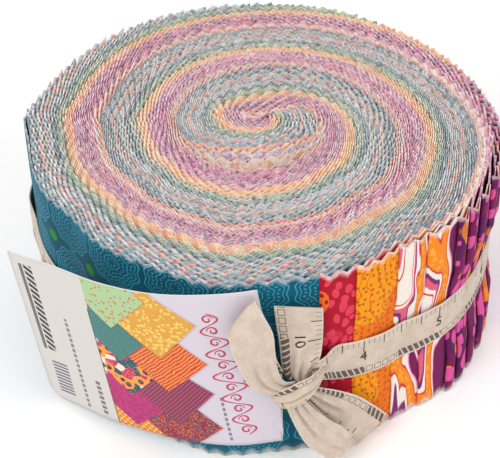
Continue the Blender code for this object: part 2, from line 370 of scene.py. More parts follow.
def speckled(name, roughness, scale, detail, low, high, inkLow, inkHigh):
    # a plain stuff whose colour wanders a little
    material, bench, shader = startMaterial(name, roughness)
    fleck = bench.noise(bench.add("ShaderNodeTexCoord").outputs["Object"], scale, detail)[0]
    share = fleck if low is None else bench.step(fleck, low, high)
    bench.feed(shader, "Base Color", bench.mix(share, inks(*inkLow), inks(*inkHigh)))
    return material


# ---- pieces ----

def newPiece(name, shape, *materials):
    mesh = bpy.data.meshes.new(name)
    shape.to_mesh(mesh)
    shape.free()
    for material in materials:
        mesh.materials.append(material)
    piece = bpy.data.objects.new(name, mesh)
    bpy.context.scene.collection.objects.link(piece)
    return piece


def thicken(piece, thickness):
    # the first material covers one side, and the others the wrong side and the cut edges
    solid = piece.modifiers.new("thickness", "SOLIDIFY")
    solid.thickness = thickness * mm
    solid.offset = 0.0
    solid.material_offset = 1
    solid.material_offset_rim = 2


def shapeFrom(curve):
    # a figure or a drawn line as a plain mesh
    holder = bpy.data.objects.new(curve.name, curve)
    bpy.context.scene.collection.objects.link(holder)
    finished = holder.evaluated_get(bpy.context.evaluated_depsgraph_get())
    shape = bmesh.new()
    shape.from_mesh(bpy.data.meshes.new_from_object(finished))
    bpy.data.objects.remove(holder)
    return shape


def turnOut(shape, outward, firstAlone=False):
    # all faces alike, turned as outward(face) says; each face votes with its area, or the first decides
    bmesh.ops.recalc_face_normals(shape, faces=shape.faces)
    shape.normal_update()
    shape.faces.ensure_lookup_table()
    voters = shape.faces[:1] if firstAlone else shape.faces
    votes = sum(face.calc_area() * (1 if face.normal.dot(outward(face)) > 0.0 else -1) for face in voters)
    if votes < 0.0:
        bmesh.ops.reverse_faces(shape, faces=shape.faces)


def drawOut(shape, row, stations, settle, isRow):
    # pulls a row of points out into a sheet, station by station
    edges = [shape.edges.new(pair) for pair in zip(row, row[1:])]
    for station in stations:
        made = bmesh.ops.extrude_edge_only(shape, edges=edges)["geom"]
        for vert in (part for part in made if isinstance(part, bmesh.types.BMVert)):
            settle(vert, station)
        edges = [part for part in made if isinstance(part, bmesh.types.BMEdge) and isRow(part, station)]


# ---- the printed cottons ----

cotton = {
    "thread": 0.42,               # millimetres from thread to thread
    "rawPrint": 0.0019,           # metres of raw edge that show on the print
    "rawBack": 0.0016,            # and on the wrong side
    "pale": 0.72,
    "bump": (0.00006, 0.5),
}
dyeLayers = ("dye", "secondDye", "deepDye")
cottons = {
    # name: ground, second ground, motif, second motif, print, share of print that pales at the raw edge
    "coral": ((178, 0, 36), (206, 40, 58), (228, 58, 88), (238, 112, 30), "ovals", 0.8),
    "yellow": ((246, 156, 0), (240, 118, 4), (226, 92, 6), (180, 84, 10), "waves", 0.8),
    "cream": ((120, 12, 86), (246, 234, 224), (248, 142, 30), (212, 44, 52), "marble", 0.8),
    "plum": ((118, 4, 84), (92, 10, 84), (226, 84, 158), (246, 140, 28), "pods", 0.8),
    "orange": ((250, 158, 72), (255, 186, 108), (255, 214, 150), (236, 110, 50), "pods", 0.7),
    "green": ((34, 112, 74), (90, 150, 96), (170, 200, 120), (14, 84, 90), "pods", 0.7),
    "deepTeal": ((8, 70, 94), (16, 92, 112), (90, 170, 180), (40, 120, 80), "pods", 0.6),
    "seaBlue": ((40, 104, 130), (112, 164, 178), (190, 210, 214), (222, 110, 96), "pods", 0.7),
    "peach": ((226, 92, 70), (244, 150, 110), (255, 206, 170), (250, 120, 60), "pods", 0.7),
    "rosette": ((0, 80, 104), (0, 96, 122), (60, 166, 186), (34, 140, 36), "rosettes", 0.6),
}
# bands of the marbled print, from its valleys to its hills: where each begins, and its ink
marbling = (
    (0.405, (238, 150, 190)), (0.417, (246, 234, 224)), (0.438, (214, 44, 60)), (0.447, (246, 138, 26)),
    (0.535, (212, 44, 52)), (0.545, (246, 234, 224)), (0.57, (122, 36, 108)), (0.59, (226, 96, 124)),
    (0.62, (250, 236, 226)), (0.645, (222, 78, 46)), (0.66, (246, 234, 224)),
)


def printInks(bench, cloth, name):
    ground, second, motif, other = (inks(*ink) for ink in cottons[name][:4])
    kind = cottons[name][4]
    wide = bench.noise(cloth, 70.0, 2.0)[0]

    def pods(spacing, size, few):
        return useGroup(bench, podGroup, {"Cloth": cloth, "Spacing": spacing, "Size": size, "Few": few})

    if kind == "ovals":
        colour = bench.mix(bench.step(wide, 0.57, 0.585), ground, second)
        colour = bench.mix(pods(0.0037, 0.31, 1.0)["Pods"], colour, motif)
        large = pods(0.0120, 0.30, 0.5)["Few pods"]
        colour = bench.mix(large, colour, other)
        return bench.mix(bench.times(large, pods(0.0022, 0.3, 1.0)["Pods"]), colour, ground)
    if kind == "waves":
        lines = useGroup(bench, waveGroup, {"Cloth": cloth, "Gap": 0.0027, "Width": 0.12})
        colour = bench.mix(lines["Patches"], ground, second)
        colour = bench.mix(bench.times(lines["Lines"], 0.8), colour, motif)
        return bench.mix(bench.times(lines["Stipple"], 0.85), colour, other)
    if kind == "marble":
        flow = bench.add("ShaderNodeMapping", {"Vector": cloth, "Scale": (1.0, 0.4, 1.0)})
        hill = bench.add("ShaderNodeTexNoise", {"Vector": flow, "Scale": 88.0, "Detail": 0.6,
                                                "Distortion": 0.5}).outputs[0]
        colour = ground
        for start, shade in marbling:
            colour = bench.mix(bench.step(hill, start - 0.003, start + 0.003), colour, inks(*shade))
        beads = bench.times(pods(0.0019, 0.3, 1.0)["Pods"], bench.step(hill, 0.474, 0.478))
        beads = bench.times(beads, bench.step(hill, 0.532, 0.528))
        return bench.mix(bench.times(beads, 0.6), colour, inks(255, 190, 70))
    if kind == "rosettes":
        rosettes = useGroup(bench, rosetteGroup, {"Cloth": cloth, "Repeat": 0.0165, "Stretch": 1.2})
        colour = bench.mix(bench.step(wide, 0.42, 0.6), ground, second)
        colour = bench.mix(bench.times(rosettes["Lines"], 0.8), colour, motif)
        colour = bench.mix(bench.times(rosettes["Beads"], 0.7), colour, motif)
        return bench.mix(rosettes["Seeds"], colour, other)
    small, large = pods(0.0052, 0.30, 0.86), pods(0.0115, 0.28, 0.5)
    colour = bench.mix(bench.step(wide, 0.5, 0.54), ground, second)
    colour = bench.mix(small["Pods"], colour, motif)
    colour = bench.mix(small["Few pods"], colour, other)
    colour = bench.mix(large["Few pods"], colour, motif)
    return bench.mix(bench.times(large["Pods"], 0.7), colour, other)


def startCotton(name, roughness, sheen, gloss, rawReach):
    # a woven side of the strips: its bench, shader, map, weave shade and raw edge
    material, bench, shader = startMaterial(name, roughness, sheen, gloss)
    cloth = bench.clothMap()
    weave = useGroup(bench, weaveGroup, {"Cloth": cloth, "Thread": cotton["thread"]})
    raw = useGroup(bench, rawGroup, {"Cloth": cloth, "Reach": rawReach})
    setBump(bench, shader, weave["Height"], *cotton["bump"])
    return material, bench, shader, cloth, weave["Shade"], raw


def makeCotton(name):
    # printed right side of one family of strips
    material, bench, shader, cloth, weave, raw = startCotton(name + "Print", 0.84, 0.04, 0.25,
                                                              cotton["rawPrint"])
    colour = printInks(bench, cloth, name)
    pale = bench.mix(cotton["pale"], colour, inks(255, 244, 242))
    colour = bench.mix(bench.times(raw["Raw"], cottons[name][5]), colour, pale)
    bench.feed(shader, "Base Color", bench.mix(1.0, colour, weave, "MULTIPLY"))
    return material


def makeBack():
    # unprinted wrong side and cut edges: the print shows through in pale blots and dark flecks; near-white
    # flecks are painted highlight where threads catch the light
    material, bench, shader, cloth, weave, raw = startCotton("cottonWrongSide", 0.9, 0.1, 0.2,
                                                              cotton["rawBack"])
    dye, second, deep = (bench.add("ShaderNodeAttribute", attribute_name=name).outputs["Color"]
                         for name in dyeLayers)
    blot = bench.noise(cloth, 210.0, 2.0)[0]
    bits = bench.splitColour(bench.noise(cloth, 620.0, 2.0)["Color"])
    colour = bench.mix(bench.step(blot, 0.48, 0.56), dye, second)
    colour = bench.mix(bench.times(bench.step(bits[0], 0.515, 0.575), 0.95), colour, deep)
    # near-white flecks: painted highlight of threads catching the light
    colour = bench.mix(bench.times(bench.step(bits[1], 0.54, 0.63), 0.7), colour, inks(255, 247, 240))
    colour = bench.mix(bench.times(raw["Raw"], 0.42), colour, inks(255, 250, 246))
    colour = bench.mix(0.7, colour, bench.mix(1.0, colour, raw["Thread shade"], "MULTIPLY"))
    bench.feed(shader, "Base Color", bench.mix(1.0, colour, weave, "MULTIPLY"))
    return material


# ---- the wound strips ----

pack = {
    "height": 63.5,
    "radius": 65.0,
    "seam": 64.5,                 # radius where the first strip starts to cover the last
    "pitch": 22.5,                # the whole stack of layers moves in by this in a turn
    "strips": 40,
    "frontFolds": (               # azimuth, how proud the folded end stands
        (-77.5, 0.9), (-68.8, 0.9), (-57.0, 0.9), (-48.5, 1.0),
        (-39.6, 1.9), (-35.3, 1.7), (-29.5, 1.8), (-22.1, 2.1),
    ),
    "lastFold": 172.0,
    "hiddenLift": 0.6,
    "sideLift": 1.3,              # more at the right side, where the folds are plump
    "tucked": (7.0, 7.5),         # past the next fold the strip lies packed, and its folded end stops
    "foldRows": (0.0, 4.0, 13.0, 19.5, 26.0, 32.5, 39.0, 45.5, 52.0, 59.5, 63.5),
    "coreRows": (0.0, 37.5, 46.5, 54.5, 59.5, 63.5),
    "printStep": 0.173,           # metres of print from one strip to the next
    "toothPitch": 4.6,
    "toothDepth": 1.7,
    "cloth": 0.24,                # thickness of the cotton
    "eye": 1.4,                   # radius where the winding begins
    "shortEnd": 3.3,              # turns
    "bulges": (                   # azimuth, spread, rise of the rim
        (-101.0, 9.0, 2.3), (-55.0, 9.0, -1.9), (-34.0, 8.0, 0.8), (-6.0, 16.0, 0.9), (35.0, 28.0, -1.3),
        (122.0, 20.0, 0.7), (174.0, 7.0, 2.0), (-143.0, 8.0, -1.9),
    ),
    "tieMiddle": 32.5,
    "tieDip": (                   # azimuth, how far the tie sags there
        (-82.0, 0.0), (-77.4, -0.6), (-68.0, -2.2), (-58.0, -3.2), (-10.0, -3.0), (60.0, 0.0), (300.0, 0.0),
    ),
    "tieWidth": 12.5,
    "squeeze": (                  # azimuth, how far the tie pulls the cloth in
        (-82.0, 0.6), (-70.0, 0.7), (20.0, 0.7), (90.0, 0.35), (160.0, 0.12), (250.0, 0.12), (278.0, 0.6),
    ),
    "hardSqueeze": 0.7,
    "flattened": 0.85,            # share of a fold's ridge that the tie presses away
    "ridge": 14.0,                # a folded end lies flat again this far along
    "core": 31.0,                 # inside this radius the strips lean
    "leanDepth": 26.0,            # and this far down from the top
    "leanRight": 0.7,
    "squeezeFade": (0.5, 9.0),    # above and below the tie
    "fineStep": 0.77,             # along the cloth round a fold
    "fineInside": 14.0,           # radius where the winding is tight
}
# families of strips from the inside of the stack to the outside
families = (
    ("coral", 1), ("yellow", 1), ("cream", 2), ("plum", 11), ("orange", 5), ("green", 4),
    ("deepTeal", 2), ("seaBlue", 6), ("peach", 1), ("seaBlue", 6), ("rosette", 1),
)
# how each family looks from its wrong side and at its cut edges: grounds, where the print shows, deep flecks
dyes = {
    "coral": (((246, 184, 180),), ((236, 120, 128),), ((200, 24, 56),)),
    "yellow": (((253, 228, 172),), ((250, 200, 116),), ((244, 150, 60),)),
    "cream": (((244, 234, 226), (240, 230, 230)), ((246, 222, 206), (230, 212, 220)),
              ((238, 186, 152), (200, 158, 190))),
    "plum": (((234, 154, 198), (244, 172, 200), (216, 142, 204), (250, 200, 214)),
             ((252, 166, 178), (202, 100, 170), (252, 214, 222)),
             ((150, 26, 112), (118, 38, 134), (226, 48, 88))),
    "orange": (((255, 222, 150), (255, 208, 136), (255, 230, 176)),
               ((255, 196, 122), (255, 240, 204), (254, 184, 112)),
               ((250, 152, 74), (248, 162, 112), (240, 132, 120))),
    "green": (((158, 198, 158), (120, 172, 150), (196, 210, 172)),
              ((78, 134, 114), (224, 190, 178), (206, 216, 172)), ((20, 80, 86), (36, 104, 60))),
    "deepTeal": (((112, 164, 174), (130, 176, 178)), ((44, 104, 124), (172, 198, 190)),
                 ((8, 56, 80), (18, 80, 96))),
    "seaBlue": (((176, 214, 222), (206, 212, 222), (150, 204, 212), (222, 212, 218), (84, 150, 164)),
                ((90, 160, 176), (240, 198, 186), (60, 126, 146), (240, 232, 232), (132, 184, 146)),
                ((10, 74, 100), (22, 92, 112), (26, 98, 100), (226, 96, 80))),
    "peach": (((248, 194, 172),), ((242, 150, 120),), ((208, 56, 62),)),
    "rosette": (((98, 158, 172),), ((30, 96, 116),), ((8, 56, 80),)),
}
layerStep = pack["pitch"] / (2 * pack["strips"])
firstFold = pack["frontFolds"][0][0]
roundPack = math.tau * pack["radius"]


def listFolds():
    folds = list(pack["frontFolds"])
    start = folds[-1][0]
    hidden = pack["strips"] - len(folds)
    for index in range(1, hidden + 1):
        azimuth = start + (pack["lastFold"] - start) * index / hidden
        folds.append((azimuth, pack["hiddenLift"] + pack["sideLift"] * smoothStep(30.0, -20.0, azimuth)))
    return folds


folds = listFolds()
foldTurns = [((azimuth - firstFold) % 360.0) / 360.0 for azimuth, lift in folds] + [1.0]
rimTable = [(turns, float(index)) for index, turns in enumerate(foldTurns[:-1])]
rimTable += [(foldTurns[-2] + 0.02, float(pack["strips"])), (1.0, float(pack["strips"]))]


def packRadius(azimuth):
    radius = pack["radius"]
    for middle, spread, rise in pack["bulges"]:
        away = (azimuth - middle + 180.0) % 360.0 - 180.0
        radius += rise * math.exp(-(away / spread) ** 2)
    return radius


def fromSeam(azimuth):
    # the same direction, between -82 and 278 degrees
    return (azimuth + 82.0) % 360.0 - 82.0


def squeezeDepth(azimuth):
    return between(pack["squeeze"], fromSeam(azimuth))


def tieHeight(azimuth):
    return pack["tieMiddle"] + between(pack["tieDip"], fromSeam(azimuth))


def tieSqueeze(azimuth, up):
    away = abs(up - tieHeight(azimuth)) - pack["tieWidth"] / 2.0
    return squeezeDepth(azimuth) * (1.0 - smoothStep(*pack["squeezeFade"], away))


def packedShare(turns):
    # the stack is pressed together where many strips have begun
    azimuth = firstFold + 360.0 * turns
    share = turns % 1.0
    rim = pack["seam"] - pack["pitch"] * share + 2.0 * layerStep * between(rimTable, share)
    return (packRadius(azimuth) - squeezeDepth(azimuth) - 0.1) / rim


def plainRadius(layer, turns):
    return pack["seam"] - pack["pitch"] * turns + layerStep * (layer + 0.5)


leanTables = {
    # how far the strips lean towards the back at the top: the front by their radius as they pass the front,
    # where a gap opens after the first pale strip; the sides and the back by their own radius
    "front": ((0.0, 6.0), (7.3, 5.8), (13.2, 8.2), (21.5, 11.4), (21.83, 6.9), (22.11, 6.7), (22.39, 2.6),
              (24.5, 1.6), (31.0, 0.0)),
    "side": ((0.0, 6.0), (12.0, 4.4), (24.0, 1.0), (31.0, 0.0)),
    "back": ((0.0, 6.0), (8.5, -3.4), (10.6, -4.0), (17.0, -2.8), (24.0, -1.6), (31.0, 0.0)),
}
frontTurns = (-90.0 - firstFold) / 360.0


def coreLean(radius, azimuth, up, frontRadius):
    if radius >= pack["core"]:
        return (0.0, 0.0)
    across = math.sin(math.radians(azimuth))
    if across < 0.0:
        rise = across ** 2 * between(leanTables["front"], frontRadius)
    else:
        rise = across ** 2 * between(leanTables["back"], radius)
    rise += (1.0 - across ** 2) * between(leanTables["side"], radius)
    deep = smoothStep(pack["height"] - pack["leanDepth"], pack["height"], up)
    deep *= smoothStep(pack["core"], pack["core"] - 3.0, radius)
    right = pack["leanRight"] * (1.0 - radius / pack["core"])
    return (right * deep, rise * deep)


def packedPlace(layer, turns, up):
    azimuth = firstFold + 360.0 * turns
    plain = plainRadius(layer, turns)
    radius = plain * packedShare(turns)
    pastFront = (turns - frontTurns + 0.5) % 1.0 - 0.5
    x, y, z = polar(azimuth, radius, up)
    right, back = coreLean(radius, azimuth, up, plain + pack["pitch"] * pastFront)
    return (x + right, y + back, z)


def foldRise(strip, turns, squeeze):
    # a folded end is a soft ridge: steep at its nose, falling away to where the next one starts
    start, stop = foldTurns[strip], foldTurns[strip + 1]
    reach = min(stop - start, pack["ridge"] / roundPack)
    settled = min(1.0, max(0.0, (turns - start) / reach))
    swell = math.sin(math.pi * (0.12 + 0.88 * settled) ** 0.6)
    return folds[strip][1] * swell * (1.0 - pack["flattened"] * squeeze / pack["hardSqueeze"])


def foldedPlace(layer, turns, up):
    # near its folded end a strip bulges above and below the tie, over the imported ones
    strip = int(layer // 2)
    half = layer - 2 * strip      # 0 inside, 1 outside, and the nose of the fold between them
    azimuth = firstFold + 360.0 * turns
    stop = foldTurns[strip + 1]
    squeeze = tieSqueeze(azimuth, up)
    proud = foldRise(strip, turns, squeeze)
    outer = packRadius(azimuth) + proud - squeeze - pack["cloth"] / 2.0
    outer -= (1.0 - half) * max(layerStep, 0.55 * proud)
    tucked = smoothStep(0.0, pack["tucked"][0] / roundPack, turns - stop)
    packed = plainRadius(layer, turns) * packedShare(turns)
    return polar(azimuth, outer + (packed - outer) * tucked, up)


def travelled(layer, turns):
    reach = plainRadius(layer, 0.0)
    return math.tau * (reach * turns - pack["pitch"] * turns ** 2 / 2.0)


def turnsAt(layer, length):
    reach = plainRadius(layer, 0.0)
    return (reach - math.sqrt(max(0.0, reach ** 2 - pack["pitch"] * length / math.pi))) / pack["pitch"]


def listStations(layer, strip):
    # turns and length along the cloth at each tooth tip and valley, from the fold to the eye
    start = travelled(layer, foldTurns[strip])
    last = (plainRadius(layer, 0.0) - pack["eye"]) / pack["pitch"]
    middle = pack["strips"] // 2
    if strip >= middle:           # the outer half of the stack stops short of the eye
        last = min(last, pack["shortEnd"] + 0.004 * (strip - middle) + 0.03 * stripShift[strip])
    half = pack["toothPitch"] / 2.0
    stations = []
    along = 0.0
    while True:
        turns = turnsAt(layer, start + along)
        if turns >= last:
            return stations
        stations.append((turns, along))
        if along < half - 0.01:                   # finer round the fold and where the winding is tight
            along = min(half, along + pack["fineStep"])
        else:
            along += half / 2.0 if plainRadius(layer, turns) < pack["fineInside"] else half


def toothDrop(along, strip):
    phase = ((along + 0.35 * stripShift[strip]) / pack["toothPitch"]) % 1.0
    return pack["toothDepth"] * (1.0 - abs(2.0 * phase - 1.0))


stripShift = [dice.uniform(-0.8, 0.8) for strip in range(pack["strips"])]
stripRise = [dice.uniform(-0.35, 0.25) for strip in range(pack["strips"])]


def startCloth():
    shape = bmesh.new()
    for name in ("cloth", "where"):               # the map, and layer, turns and length along the strip
        shape.verts.layers.float_vector.new(name)
    for name in dyeLayers:
        shape.verts.layers.float_color.new(name)
    return shape


def raiseRibbon(shape, stations, placeAt, rows, strip, dye):
    # a row of points for the foot, drawn up row by row; stations are (layer, turns, along)
    cloth, where = (shape.verts.layers.float_vector[name] for name in ("cloth", "where"))
    stains = [shape.verts.layers.float_color[name] for name in dyeLayers]

    def settle(vert, up):
        layer, turns, along = vert[where]
        drop = toothDrop(along, strip)
        if up == 0.0:
            up = drop
        elif up == pack["height"]:
            up += stripRise[strip] - 0.25 - drop
        vert.co = toMetres(placeAt(layer, turns, up))
        vert[cloth] = (mm * along + pack["printStep"] * strip, mm * up, mm * drop)
        for stain, ink in zip(stains, dye):
            vert[stain] = ink

    def isRow(edge, up):
        level = all(abs(vert[cloth].y - mm * up) < 0.003 for vert in edge.verts)
        return level and len(edge.link_faces) == 1

    row = [shape.verts.new() for station in stations]
    for vert, station in zip(row, stations):
        vert[where] = station
        settle(vert, rows[0])
    drawOut(shape, row, rows[1:], settle, isRow)


def addRibbon(target, stations, placeAt, rows, strip, dye, soft=False):
    shape = startCloth()
    raiseRibbon(shape, stations, placeAt, rows, strip, dye)
    where = shape.verts.layers.float_vector["where"]

    def outward(face):
        # the print faces away from the fold's own inside
        middle = face.calc_center_median()
        away = Vector((middle.x, middle.y, 0.0))
        outside = sum(vert[where].x for vert in face.verts) / len(face.verts) > 2 * strip + 0.5
        return away if outside else -away

    turnOut(shape, outward)
    for face in shape.faces:
        face.smooth = soft
    spare = bpy.data.meshes.new("ribbon")
    shape.to_mesh(spare)
    shape.free()
    target.from_mesh(spare)
    bpy.data.meshes.remove(spare)


def addStrip(target, strip, dye):
    stop = foldTurns[strip + 1] + pack["tucked"][1] / roundPack
    folded = []
    for layer in (2 * strip, 2 * strip + 1):
        stations = [(layer, turns, along) for turns, along in listStations(layer, strip)]
        near = [item for item in stations if item[1] <= stop]
        far = near[-1:] + stations[len(near):]
        outer = [item for item in far if plainRadius(layer, item[1]) > pack["core"] + 3.0]
        inner = far[len(outer):]
        if outer:
            addRibbon(target, outer + inner[:1], packedPlace, (0.0, pack["height"]), strip, dye)
        if inner:
            addRibbon(target, inner, packedPlace, pack["coreRows"], strip, dye)
        folded.append(near)
    # the fold itself: both halves joined round a soft nose
    inside, outside = folded
    nose = (2 * strip + 0.5, foldTurns[strip] - 0.3 * folds[strip][1] / roundPack, 0.0)
    addRibbon(target, inside[::-1] + [nose] + outside, foldedPlace, pack["foldRows"], strip, dye, soft=True)


def buildFamilies():
    backMaterial = makeBack()
    prints = {name: makeCotton(name) for name in dict.fromkeys(row[0] for row in families)}
    strip = 0
    shapes = {}
    for name, count in families:
        shape = shapes.setdefault(name, startCloth())
        for index in range(count):
            addStrip(shape, strip, [inks(*dice.choice(choices)) for choices in dyes[name]])
            strip += 1
    made = []
    for name, shape in shapes.items():
        shape.verts.layers.float_vector.remove(shape.verts.layers.float_vector["where"])
        piece = newPiece(name + "Strips", shape, prints[name], backMaterial, backMaterial)
        thicken(piece, pack["cloth"])
        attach(piece, "root")
        made.append(piece)
        print("wound", name, "strips,", len(piece.data.polygons), "faces")
    for piece in made:
        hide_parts("strip_roll")


buildFamilies()


# ---- the measuring tape that ties the roll ----

tape = {
    "width": 12.5,
    "cloth": 0.4,
    "knotAzimuth": -82.0,
    "knotRadius": 66.0,           # places on the tape are across, out and up from here
    "pinch": 6.5,
    "rightEnd": 2.2,
    "leftEnd": -5.2,
    "gather": (10.5, 36.0),
    "rise": 1.2,
    "frontOut": 4.6,
    "knotOut": 2.6,
    "inch": 25.4,
    "firstInch": (19.6, 4),       # across from the knot, and the figure printed there
    "drawn": 1.006,               # the band lies farther out than the knot, so its marks come later
    "figures": 15,                # as many as go round
    "figureSize": 4.3,
    "figureSide": 0.53,           # share across the band
    "bare": 30.0,                 # no figure in the hidden end
    "tailFigures": {"tailUpper": ("10", 10.6, 0.47), "tailLower": ("2", 30.2, 0.5)},     # along, share across
    "starts": {"tailUpper": -10.9, "tailLower": -31.5, "knotWrap": -16.0},     # where its marks begin
    "blockShifts": {"tapeBand": 8.5, "tailUpper": -4.8, "tailLower": 7.0},     # and its runs of blocks
    "weaveThread": 0.36,
    "pleats": 3.0,
    "pleatFrom": 1.1,             # slack that the cloth takes up flat
    "pleatDepth": 0.8,
    "seatGap": 0.12,
    "holePast": (6.6, 6.5),       # the card's slit begins and ends this far past its own edges
    "loose": 4.1,                 # the band leaves the knot here
    "sides": 24,                  # faces across
    "bandSteps": 420,
    "bandStations": 190,
}
# points on the plain edge, the middle and the ruled edge of the tape, as across, out and up
tapeCourses = {
    "loopUpper": (
        ((-2.0, 5.6, 33.4), (-3.4, 6.0, 31.4), (-4.4, 5.6, 29.8)),
        ((-4.6, 6.6, 34.6), (-6.2, 7.0, 32.2), (-7.2, 6.6, 29.8)),
        ((-6.3, 7.4, 39.2), (-9.4, 8.4, 36.4), (-12.3, 7.6, 33.4)),
        ((-7.0, 7.8, 46.6), (-10.9, 9.2, 44.0), (-15.2, 8.3, 41.6)),
        ((-7.6, 7.6, 53.3), (-12.0, 9.1, 50.6), (-16.4, 8.7, 46.8)),
        ((-10.9, 7.0, 61.6), (-14.4, 8.4, 57.0), (-17.0, 8.4, 50.8)),
        ((-11.2, 6.2, 62.2), (-14.9, 7.3, 57.4), (-17.5, 7.5, 51.1)),
        ((-10.6, 5.4, 60.4), (-14.2, 6.2, 56.2), (-16.6, 6.6, 50.2)),
        ((-8.2, 5.3, 52.0), (-11.5, 5.5, 48.0), (-14.2, 5.6, 44.0)),
        ((-6.9, 5.2, 43.0), (-9.8, 5.3, 40.6), (-12.4, 5.3, 38.6)),
        ((-5.0, 5.0, 36.6), (-6.2, 5.0, 34.8), (-7.4, 5.0, 33.2)),
    ),
    "loopLower": (
        ((-0.2, 5.9, 29.0), (-2.0, 6.3, 27.6), (-3.8, 5.6, 26.6)),
        ((0.9, 6.4, 25.6), (-1.5, 7.0, 24.6), (-4.1, 6.2, 24.4)),
        ((5.4, 6.6, 19.2), (1.8, 7.9, 17.6), (-1.9, 6.7, 17.2)),
        ((8.6, 7.1, 16.0), (5.2, 8.5, 12.4), (0.9, 7.6, 10.8)),
        ((10.8, 7.4, 13.4), (9.8, 8.7, 8.4), (5.6, 8.2, 5.4)),
        ((11.4, 6.4, 13.0), (10.7, 7.3, 7.9), (6.4, 7.2, 4.6)),
        ((10.3, 5.4, 13.2), (9.6, 6.1, 8.6), (5.6, 6.1, 5.8)),
        ((6.4, 4.9, 17.0), (4.6, 5.1, 13.4), (1.8, 5.2, 10.6)),
        ((1.4, 4.4, 24.6), (-0.6, 4.5, 23.4), (-2.8, 4.4, 23.0)),
    ),
    "tailUpper": (
        ((-6.9, 1.9, 56.4), (-0.9, 1.6, 55.2), (5.2, 1.7, 53.9)),
        ((-6.4, 1.8, 50.0), (-0.6, 1.9, 49.2), (5.3, 1.7, 48.6)),
        ((-5.7, 2.2, 44.0), (-0.3, 2.6, 43.4), (5.1, 1.9, 43.0)),
        ((-5.2, 2.8, 38.0), (-0.6, 3.5, 37.6), (4.4, 2.4, 37.6)),
        ((-4.6, 3.4, 34.4), (-1.2, 4.2, 34.0), (2.2, 3.2, 34.3)),
        ((-2.6, 4.0, 32.0), (-0.8, 4.4, 31.6), (1.2, 3.8, 31.6)),
    ),
    "tailLower": (
        ((24.2, 1.8, 8.6), (19.6, 2.1, 4.8), (15.0, 2.1, 0.9)),
        ((20.0, 1.8, 14.2), (16.2, 2.2, 9.4), (12.4, 2.1, 4.6)),
        ((14.9, 1.9, 20.0), (11.4, 2.4, 15.6), (8.0, 2.2, 11.0)),
        ((9.0, 2.4, 24.6), (6.2, 3.1, 21.6), (3.2, 2.6, 18.6)),
        ((3.4, 3.6, 28.4), (1.9, 3.8, 27.0), (0.6, 3.4, 25.8)),
        ((1.4, 4.2, 30.4), (0.6, 4.3, 29.4), (-0.4, 4.0, 28.6)),
    ),
    "knotWrap": (
        ((5.4, 2.0, 35.0), (5.4, 2.4, 33.0), (5.2, 2.0, 30.6)),
        ((3.6, 4.6, 35.4), (3.9, 5.4, 33.2), (3.6, 4.8, 30.6)),
        ((0.8, 6.8, 35.4), (1.7, 7.7, 32.6), (1.9, 7.0, 29.6)),
        ((-1.8, 7.6, 34.9), (-0.6, 8.7, 31.9), (0.2, 8.0, 28.4)),
        ((-4.4, 7.8, 33.3), (-3.2, 8.9, 30.2), (-2.0, 8.0, 26.7)),
        ((-6.8, 7.0, 31.4), (-5.7, 7.7, 28.6), (-4.4, 7.3, 25.5)),
        ((-8.4, 5.2, 29.6), (-7.3, 5.5, 27.3), (-6.2, 5.2, 24.9)),
    ),
}


def knotAzimuth(across):
    return tape["knotAzimuth"] + math.degrees(across / tape["knotRadius"])


def fromKnot(across, out, up):
    return polar(knotAzimuth(across), tape["knotRadius"] + out, up)


def curveThrough(points, share):
    # Catmull-Rom curve; share runs from 0 to the last index
    last = len(points) - 1
    index = min(int(share), last - 1)
    part = share - index
    here, ahead = Vector(points[index]), Vector(points[index + 1])
    before = Vector(points[index - 1]) if index > 0 else here * 2.0 - ahead
    after = Vector(points[index + 2]) if index + 2 <= last else ahead * 2.0 - here
    steady = 2.0 * here + (ahead - before) * part
    bend = (2.0 * before - 5.0 * here + 4.0 * ahead - after) * part ** 2
    turn = (3.0 * here - before - 3.0 * ahead + after) * part ** 3
    return (steady + bend + turn) / 2.0


class TapeCourse:
    # one stretch of tape: place(along, side, lift) in millimetres, side 0 plain edge to 1 ruled edge

    def __init__(self, rowAt, count, startInch):
        self.rowAt = rowAt        # share of the course to three points across the tape
        self.count = count
        self.startInch = startInch
        rows = [rowAt(index / count) for index in range(count + 1)]
        self.lengths = [0.0]      # mean of both edges and the middle
        for here, ahead in zip(rows, rows[1:]):
            self.lengths.append(self.lengths[-1] + sum((b - a).length for a, b in zip(here, ahead)) / 3.0)
        self.length = self.lengths[-1]

    def shareAt(self, along):
        table = [(length, index / self.count) for index, length in enumerate(self.lengths)]
        return between(table, min(max(along, 0.0), self.length))

    def onCloth(self, share, side):
        low, middle, high = self.rowAt(share)
        crown = middle - (low + high) / 2.0
        spot = low.lerp(high, side) + crown * (1.0 - (2.0 * side - 1.0) ** 2)
        width = (high - low).length
        slack = max(0.0, tape["width"] / width - tape["pleatFrom"])      # drawn in, it stands in small pleats
        waves = tape["pleats"]
        pleat = min(tape["pleatDepth"], width / (2.0 * waves) * math.sqrt(slack))
        pleat *= math.sin(math.tau * waves * side) * math.sin(math.pi * side)
        return spot + Vector((spot.x, spot.y, 0.0)).normalized() * pleat

    def place(self, along, side, lift=0.0):
        share = self.shareAt(along)
        spot = self.onCloth(share, side)
        if lift:
            step = 0.004
            forward = self.onCloth(min(1.0, share + step), side) - self.onCloth(max(0.0, share - step), side)
            across = self.onCloth(share, min(1.0, side + 0.05)) - self.onCloth(share, max(0.0, side - 0.05))
            spot = spot + across.cross(forward).normalized() * -lift
        return spot


def packWall(azimuth):
    # outside of the strips under the tape
    turns = ((azimuth - firstFold) % 360.0) / 360.0
    strip = max(index for index, start in enumerate(foldTurns[:-1]) if start <= turns + 1e-9)
    squeeze = squeezeDepth(azimuth)
    return packRadius(azimuth) + foldRise(strip, turns, squeeze) - squeeze


